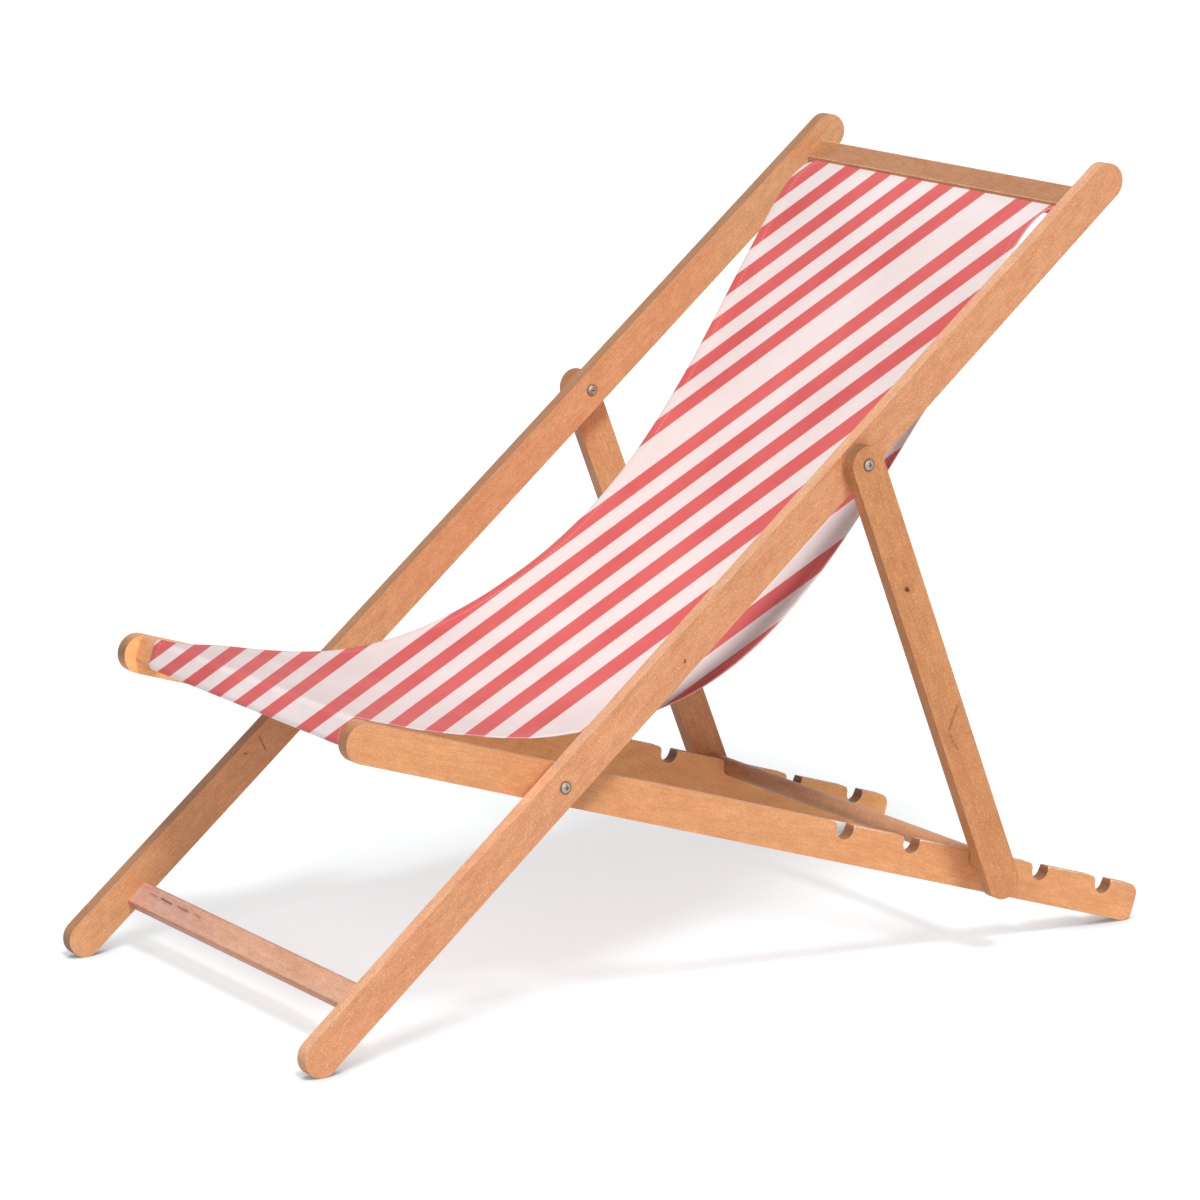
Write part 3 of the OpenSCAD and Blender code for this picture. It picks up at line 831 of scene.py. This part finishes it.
PIVOTS = (
    # name, pivot, head's flat side, nut's flat side, washer's inner side
    ("seat_pivot", seat_pivot, BACK_OUT, SEAT_IN - TURN_PLAY, SEAT_OUT + TURN_PLAY),
    ("prop_pivot", prop_pivot, LEG_OUT + TURN_PLAY, BACK_IN, BACK_OUT),
)
for name, pivot, head_x, nut_x, washer_x in PIVOTS:
    for side, sign in SIDES:
        bm = bmesh.new()
        at = Vector((sign * head_x, pivot.y, pivot.z))
        low_head(bm, at, sign, cross_recess, BOLT_D / 2, head_x - nut_x)
        finish_mesh(f"{name}_bolt_{side}_head", bm, plated, "back_frame",
                    [f"{name}_bolt_{side}"])
        bm = bmesh.new()
        at = Vector((sign * nut_x, pivot.y, pivot.z))
        low_head(bm, at, -sign, slot_recess, BOLT_D / 2, 0.1 * MM)
        finish_mesh(f"{name}_nut_{side}_cap", bm, plated, "back_frame",
                    [f"{name}_nut_{side}"])
        bm = bmesh.new()
        length = LAYER_GAP - TURN_PLAY
        start_x = washer_x if sign > 0 else -washer_x - length
        washer(bm, Vector((start_x, pivot.y, pivot.z)), length)
        finish_mesh(f"{name}_washer_{side}_ring", bm, washer_steel, "back_frame",
                    [f"{name}_washer_{side}"])


SLING_STEPS = 150


def bezier(a, b, c, d, u):
    """Point of a cubic curve from a to d, pulled towards b and c."""
    k = 1 - u
    return a * k ** 3 + b * (3 * k * k * u) + c * (3 * k * u * u) + d * u ** 3


cloth_lift = CLOTH_GAP + CLOTH_T / 2
bar_front = front_bar_s - FRONT_BAR[0] / 2
bar_rear = front_bar_s + FRONT_BAR[0] / 2
bar_under = SEAT_R - FRONT_BAR[1]
top_edge_s = top_rail_s - TOP_RAIL[0] / 2
sling_start = seat.at(bar_rear + cloth_lift + CLOTH_GAP / 2, SEAT_R + cloth_lift)
sling_end = back.at(top_edge_s - cloth_lift, -TOP_CHAMFER)
start_pull = sling_start + seat.along * SEAT_REACH - seat.across * SEAT_SINK
end_pull = sling_end - back.along * TOP_DROP + back.across * TOP_BOW


def corner(plane, s, t, start, end, edge_r=0.0, steps=6):
    """The canvas round an edge of wood of the given radius, in a frame's own axes."""
    return [plane.at(*p) for p in arc((s, t), cloth_lift + edge_r, start, end, steps)]


def line(a, b, steps):
    """Points inside a straight run, without its two ends."""
    return [a.lerp(b, i / steps) for i in range(1, steps)]


def sling_path():
    """Stations of the canvas from behind the front bar to behind the top rail.

    Each is (point, share of the way up, share of the dip).
    """
    r = FRONT_BAR_R
    wrap = [seat.at(bar_rear + cloth_lift, bar_under + FRONT_HEM_LEN)]
    wrap += line(wrap[0], seat.at(bar_rear + cloth_lift, bar_under), 4)
    wrap += corner(seat, bar_rear, bar_under, 0, -90)
    wrap += corner(seat, bar_front + r, bar_under + r, -90, -180, r, 10)
    wrap += line(wrap[-1], seat.at(bar_front - cloth_lift, SEAT_R - r), 6)
    wrap += corner(seat, bar_front + r, SEAT_R - r, 180, 90, r, 10)
    wrap += line(wrap[-1], sling_start, 4)
    stations = [(p, 0.0, 0.0) for p in wrap]
    for i in range(SLING_STEPS + 1):
        u = i / SLING_STEPS
        dip = math.sin(math.pi * u)
        stations.append((bezier(sling_start, start_pull, end_pull, sling_end, u), u, dip))
    hem = corner(back, top_edge_s, -TOP_RAIL[1], 180, 270)
    last = back.at(top_edge_s + TOP_HEM_LEN, -TOP_RAIL[1] - cloth_lift)
    hem += line(hem[-1], last, 6) + [last]
    stations += [(p, 1.0, 0.0) for p in hem]
    return stations


stations = sling_path()
heights = [0.0]
for (p, _, _), (q, _, _) in zip(stations, stations[1:]):
    heights.append(heights[-1] + (q - p).length)


def half_width(u):
    """Half the canvas's width at a share of the way up."""
    flare = min(1, u / SLING_FLARE)
    return (SLING_FRONT_W + (SLING_TOP_W - SLING_FRONT_W) * flare) / 2


def middle_x(u):
    """The canvas is nailed a little off centre on the front bar."""
    return SLING_SHIFT * (1 - min(1, u / SLING_FLARE))


# How far each long edge lies above its plain path, as (share of the way up, height)
NEAR_EDGE = ((0, 0), (0.05, -1.5 * MM), (0.13, -6 * MM), (0.25, -8 * MM), (0.5, 7 * MM),
             (0.75, -6 * MM), (1, 0))
FAR_EDGE = ((0, 0), (0.04, 5.5 * MM), (0.13, 2.5 * MM), (0.25, 5.5 * MM), (0.5, -4.5 * MM),
            (0.75, -8 * MM), (1, 0))
RIPPLE = 0.9 * MM


def eased(curve, u):
    """Value of a curve of (place, value) pairs, level at each pair."""
    for (a, low), (b, high) in zip(curve, curve[1:]):
        if u <= b:
            k = (u - a) / (b - a)
            return low + (high - low) * k * k * (3 - 2 * k)
    return curve[-1][1]


def cloth_rise(u, v):
    """Height of the canvas over its plain path: uneven edges and slight ripples."""
    near, far = eased(NEAR_EDGE, u), eased(FAR_EDGE, u)
    tilt = (near + far) / 2 + (near - far) / 2 * v
    wave = math.sin(5.3 * v + 9.0 * u + 0.6) * math.sin(14.0 * u + 2.1 * v)
    pull = math.exp(-((u - 0.05) / 0.05) ** 2) * math.cos(math.pi * 6 * v) * 0.6
    return tilt + RIPPLE * (wave * math.sin(math.pi * u) + pull * min(1, u / 0.02))


# Columns across the canvas: its hems have columns of their own
HEM_W = 14 * MM
HEM_STEP = 0.8 * MM
HEM_SWELL = 0.2 * MM
# The skins lie a little inside the canvas's nominal thickness, and meet thin at its edges
SKIN_SHARE = 0.85
EDGE_SHARE = 0.55
INNER_COLUMNS = 56


def columns():
    """Columns as (share of the half width, offset from the edge, or None between the hems)."""
    edge = [0.0, 0.35 * MM, HEM_W * 0.35, HEM_W * 0.7, HEM_W, HEM_W + HEM_STEP]
    left = [(-1, d) for d in edge]
    middle = [(2 * i / INNER_COLUMNS - 1, None) for i in range(1, INNER_COLUMNS)]
    right = [(1, -d) for d in reversed(edge)]
    return left + middle + right


def column_x(column, w):
    """Place of a column across a canvas of half width w."""
    share, offset = column
    if offset is not None:
        return share * w + offset
    return share * (w - HEM_W - HEM_STEP)


def half_thickness(from_edge):
    """Half the canvas's thickness at a distance from its long edge; the hems are thicker."""
    if from_edge > HEM_W + HEM_STEP / 2:
        return CLOTH_T / 2 * SKIN_SHARE
    hem = (CLOTH_T / 2 + HEM_SWELL) * SKIN_SHARE
    return hem * EDGE_SHARE if from_edge < 0.2 * MM else hem


# Stripes lie in planes that fan out from the eye point along one slanted line of the picture.
# Their places are in the picture's pixels, kept in a UV layer in units of a thousand.
STRIPE_SLOPE = 0.735
STRIPE_UNIT = 1000.0
STRIPE_NORM = math.hypot(1, STRIPE_SLOPE)
FOCAL = CAMERA_LENS / SENSOR * PHOTO
# Runs of stripes with wide white ones between: (first, pitch, growth of pitch, number)
STRIPE_RUNS = ((521.0, 22.2, 0.078, 10), (761.1, 25.2, 0.26, 6), (932.3, 28.9, 0.26, 5))


def stripe_across(p):
    """Place of a point across the stripes."""
    d = p - CAMERA_AT
    depth = -d.dot(view_back)
    x = PHOTO / 2 + FOCAL * d.dot(view_right) / depth
    y = PHOTO / 2 - FOCAL * d.dot(view_up) / depth
    return (STRIPE_SLOPE * x + y) / STRIPE_NORM


def sling_mesh():
    """Both faces of the canvas as one closed skin, with its hems and its UVs."""
    bm = bmesh.new()
    weave = bm.loops.layers.uv.new("weave")
    stripe = bm.loops.layers.uv.new("stripe")
    margin = bm.loops.layers.uv.new("margin")
    cols = columns()
    count = len(stations)
    faces = {1: [], -1: []}
    flat_uv = {}
    margin_uv = {}
    for i, (p, u, dip) in enumerate(stations):
        before = stations[max(i - 1, 0)][0]
        after = stations[min(i + 1, count - 1)][0]
        heading = (after - before).normalized()
        normal = Vector((0, -heading.z, heading.y))
        w = half_width(u)
        for side in (1, -1):
            row = []
            for column in cols:
                x = column_x(column, w)
                v = x / w
                from_edge = w - abs(x)
                sag = SLING_DIP * dip * (1 - v * v)
                rise = cloth_rise(u, v) if dip > 0 else 0.0
                q = p + normal * (side * half_thickness(from_edge) - sag + rise)
                vert = bm.verts.new(Vector((x + middle_x(u), q.y, q.z)))
                flat_uv[vert] = (x, heights[i])
                margin_uv[vert] = (from_edge, heights[i])
                row.append(vert)
            faces[side].append(row)
    for side in (1, -1):
        rows = faces[side]
        for a, b in zip(rows, rows[1:]):
            for j in range(len(cols) - 1):
                quad = (a[j], a[j + 1], b[j + 1], b[j])
                bm.faces.new(quad if side > 0 else quad[::-1])
    up, low = faces[1], faces[-1]
    for i in range(count - 1):
        bm.faces.new((up[i][0], up[i + 1][0], low[i + 1][0], low[i][0]))
        bm.faces.new((up[i + 1][-1], up[i][-1], low[i][-1], low[i + 1][-1]))
    for j in range(len(cols) - 1):
        bm.faces.new((up[0][j + 1], up[0][j], low[0][j], low[0][j + 1]))
        bm.faces.new((up[-1][j], up[-1][j + 1], low[-1][j + 1], low[-1][j]))
    across = {v: stripe_across(v.co) / STRIPE_UNIT for v in bm.verts}
    for face in bm.faces:
        for loop in face.loops:
            loop[weave].uv = flat_uv[loop.vert]
            loop[stripe].uv = (across[loop.vert], 0)
            loop[margin].uv = margin_uv[loop.vert]
    return bm


RED = srgb(234, 108, 106)
RED_DEEP = srgb(222, 92, 94)
WHITE = srgb(253, 240, 238)
WHITE_DULL = srgb(245, 231, 229)
THREAD = srgb(236, 214, 206)
THREAD_SHADE = srgb(190, 150, 150)
# How far the stripes' edges waver, in the picture's pixels
RAGGED = 1.4
WEAVE_PITCH = 0.8 * MM
STITCH_PITCH = 4.2 * MM
STITCH_ROWS = (10.5 * MM, 12.5 * MM)
# Painted shade on the front of the seat: how bright it stays, from where to where
SEAT_SHADE = 0.95
SEAT_SHADE_FROM = 0.08
SEAT_SHADE_TO = 0.62
# Painted shade towards the far side: how bright the far edge stays
FAR_SIDE_SHADE = 0.92


def red_stripes(n, across):
    """1 on the red stripes and 0 between them, from the place across the stripes."""
    red = 0.0
    for first, pitch, growth, number in STRIPE_RUNS:
        # Red stripe i of a run starts at first + pitch * i + growth * i * i
        square = n.math("MULTIPLY_ADD", across, 4 * growth, pitch ** 2 - 4 * growth * first)
        root = n.math("SQRT", n.math("MAXIMUM", square, 0.0))
        turns = n.math("DIVIDE", n.math("SUBTRACT", root, pitch), 2 * growth)
        share = n.math("FRACT", turns)
        rise = n.remap(share, 0.0, 0.035, 0.0, 1.0, smooth=True)
        fall = n.remap(share, 0.485, 0.52, 1.0, 0.0, smooth=True)
        begun = n.math("GREATER_THAN", turns, 0.0)
        going_on = n.math("LESS_THAN", turns, number - 0.4)
        inside = n.math("MULTIPLY", begun, going_on)
        red_here = n.math("MULTIPLY", n.math("MULTIPLY", rise, fall), inside)
        red = n.math("MAXIMUM", red_here, red)
    return red


def hem_stitches(n, from_edge, along):
    """The grooves that two rows of stitches press into each side hem, and their thread."""
    run = n.math("FRACT", n.math("DIVIDE", along, STITCH_PITCH))
    from_middle = n.math("ABSOLUTE", n.math("SUBTRACT", run, 0.5))
    thread = n.remap(from_middle, 0.3, 0.38, 1.0, 0.0, smooth=True)
    groove = 0.0
    for row in STITCH_ROWS:
        off = n.math("ABSOLUTE", n.math("SUBTRACT", from_edge, row))
        one = n.remap(off, 0.25 * MM, 0.55 * MM, 1.0, 0.0, smooth=True)
        groove = n.math("MAXIMUM", one, groove)
    return groove, n.math("MULTIPLY", groove, thread)


def canvas():
    """Woven cotton canvas with printed stripes, stitched hems and a soft nap."""
    n = Nodes(bpy.data.materials.new("striped canvas"))
    weave = n.add("ShaderNodeUVMap", uv_map="weave").outputs[0]
    stripe = n.add("ShaderNodeUVMap", uv_map="stripe").outputs[0]
    margin = n.add("ShaderNodeUVMap", uv_map="margin").outputs[0]
    flat_x, flat_y, _ = n.separate(weave)
    from_edge, along, _ = n.separate(margin)

    soft = n.noise(n.stretch(weave, (9, 9, 1)), detail=3)
    thread_u = n.noise(n.stretch(weave, (1400, 30, 1)), detail=2)
    thread_v = n.noise(n.stretch(weave, (30, 1400, 1)), detail=2)
    threads = n.math("ADD", thread_u, thread_v)
    bleed = n.math("SUBTRACT", n.noise(n.stretch(weave, (900, 900, 1))), 0.5)
    across = n.math("MULTIPLY_ADD", n.separate(stripe)[0], STRIPE_UNIT,
                    n.math("MULTIPLY", bleed, RAGGED))

    deep = n.remap(soft, 0.35, 0.7)
    color = n.mix(red_stripes(n, across), n.mix(deep, WHITE, WHITE_DULL), n.mix(deep, RED, RED_DEEP))
    color = n.mix(n.remap(threads, 0.75, 1.25, 0.0, 0.10), color, THREAD_SHADE)
    # Painted shade: darker towards the front of the seat and towards the far side
    seat_shade = n.remap(flat_y, SEAT_SHADE_FROM, SEAT_SHADE_TO, SEAT_SHADE, 1.0, smooth=True)
    far_shade = n.remap(flat_x, -SLING_TOP_W / 2, 0.0, FAR_SIDE_SHADE, 1.0, smooth=True)
    color = n.mix(1.0, color, n.math("MULTIPLY", seat_shade, far_shade), blend="MULTIPLY")
    groove, stitch = hem_stitches(n, from_edge, along)
    color = n.mix(n.math("MULTIPLY", stitch, 0.3), color, THREAD)
    rubbed = n.remap(from_edge, 0.0, 1.2 * MM, 0.35, 0.0)
    color = n.mix(rubbed, color, WHITE_DULL)

    # Plain weave: two crossed sets of threads
    turn_per_metre = 2 * math.pi / WEAVE_PITCH
    over = n.math("SINE", n.math("MULTIPLY", flat_x, turn_per_metre))
    under = n.math("SINE", n.math("MULTIPLY", flat_y, turn_per_metre))
    height = n.math("ADD", n.math("MULTIPLY", n.math("MULTIPLY", over, under), 0.5), threads)
    height = n.math("SUBTRACT", height, n.math("MULTIPLY", groove, 1.5))
    height = n.math("ADD", height, n.math("MULTIPLY", stitch, 3.0))
    return n.shader(
        color, n.remap(soft, 0.3, 0.7, 0.82, 0.92), height, 0.25, 0.12 * MM,
        Sheen_Weight=0.07, Sheen_Roughness=0.5, Specular_IOR_Level=0.2,
    )


sling = finish_mesh(
    "sling_canvas", sling_mesh(), canvas(), None, ["sling", "sling_front_hem"],
)

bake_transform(sling)


def tacks(name, point, facing, width, body, shift=0.0):
    """A row of domed tack heads; facing points away from the wood."""
    bm = bmesh.new()
    span = width - 2 * TACK_EDGE
    r = TACK_HEAD_D / 2
    turn = Vector((1, 0, 0)).rotation_difference(facing).to_matrix()
    profile = [(0, r - 0.1 * MM), (0.15 * MM, r), (0.35 * MM, r * 0.97), (0.6 * MM, r * 0.75)]
    profile += [(0.75 * MM, r * 0.4), (0.8 * MM, r * 0.1)]
    for i in range(TACK_COUNT):
        x = span * (i / (TACK_COUNT - 1) - 0.5) + shift
        one = bmesh.new()
        lathe(one, Vector((0, 0, 0)), 1, profile, 24)
        for vert in one.verts:
            vert.co = turn @ vert.co + Vector((x, point.y, point.z))
        mesh = bpy.data.meshes.new("tack")
        one.to_mesh(mesh)
        one.free()
        bm.from_mesh(mesh)
        bpy.data.meshes.remove(mesh)
    return finish_mesh(f"{name}_heads", bm, tack_steel, body, [name])


hem_face = CLOTH_GAP + CLOTH_T
tacks("sling_tacks_top", back.at(top_edge_s + TOP_HEM_LEN / 2, -TOP_RAIL[1] - hem_face),
      -back.across, SLING_TOP_W, "back_frame")
tacks("sling_tacks_front", seat.at(bar_rear + hem_face, bar_under + FRONT_HEM_LEN / 2),
      seat.along, SLING_FRONT_W, "seat_frame", SLING_SHIFT)


FLOOR_SIZE = 40.0
FLOOR_DROP = 0.4 * MM
FLOOR_GLOW = 0.4
FLOOR_WHITE = 1.62
CONTACT_REACH = 55 * MM
PURE_WHITE = (1, 1, 1, 1)
PAPER = (0.90, 0.90, 0.90, 1)
# Seen directly, the paper is cool enough to balance the red that the canvas throws on it
PAPER_SEEN = (0.80, 0.87, 0.88, 1)


def floor():
    """A large sheet of white paper that keeps the chair's shadow."""
    mesh = bpy.data.meshes.new("floor")
    h = FLOOR_SIZE / 2
    mesh.from_pydata([(-h, -h, 0), (h, -h, 0), (h, h, 0), (-h, h, 0)], [], [(0, 1, 2, 3)])
    obj = bpy.data.objects.new("floor", mesh)
    obj.location.z = -FLOOR_DROP
    bpy.context.scene.collection.objects.link(obj)
    n = Nodes(bpy.data.materials.new("pale floor"))
    seen = n.seen_directly()
    paper = n.add("ShaderNodeBsdfDiffuse")
    n.link(n.mix(seen, PAPER, PAPER_SEEN), paper.inputs["Color"])
    glow = n.add("ShaderNodeEmission")
    glow.inputs["Color"].default_value = PURE_WHITE
    # Painted contact shadow: the glow dims just round the places where the feet touch the paper
    near = n.add("ShaderNodeAmbientOcclusion", samples=12)
    near.inputs["Distance"].default_value = CONTACT_REACH
    contact_shade = n.remap(near.outputs["AO"], 0.35, 0.95, 0.25, 1.0, smooth=True)
    n.link(n.math("MULTIPLY", contact_shade, FLOOR_WHITE), glow.inputs["Strength"])
    share = n.math("MULTIPLY", seen, FLOOR_GLOW)
    mesh.materials.append(n.finish_mixed(share, paper, glow, "ShaderNodeOutputMaterial"))


# Lamps: name, the direction that it shines from, strength, spread in degrees
LAMPS = (
    ("key", (0.47, -0.13, 0.87), 2.1, 15),
    ("front fill", (0.52, -0.69, 0.51), 1.05, 36),
    ("side fill", (0.98, -0.1, 0.15), 0.2, 40),
)
SKY_STRENGTH = 0.22
SKY_GREY = (0.8, 0.8, 0.8, 1)


def sun(name, towards, strength, spread):
    """A sun lamp that shines from the given direction."""
    data = bpy.data.lights.new(name, "SUN")
    data.energy = strength
    data.angle = math.radians(spread)
    obj = bpy.data.objects.new(name, data)
    obj.rotation_mode = "QUATERNION"
    obj.rotation_quaternion = Vector(towards).to_track_quat("Z", "Y")
    bpy.context.scene.collection.objects.link(obj)


def sky():
    """Even light from all round; seen directly it is plain white."""
    world = bpy.data.worlds.new("studio")
    n = Nodes(world)
    even = n.add("ShaderNodeBackground")
    even.inputs["Color"].default_value = SKY_GREY
    even.inputs["Strength"].default_value = SKY_STRENGTH
    white = n.add("ShaderNodeBackground")
    white.inputs["Color"].default_value = PURE_WHITE
    n.finish_mixed(n.seen_directly(), even, white, "ShaderNodeOutputWorld")
    bpy.context.scene.world = world


floor()
sky()
for lamp in LAMPS:
    sun(*lamp)
bpy.context.scene.view_settings.view_transform = "Standard"
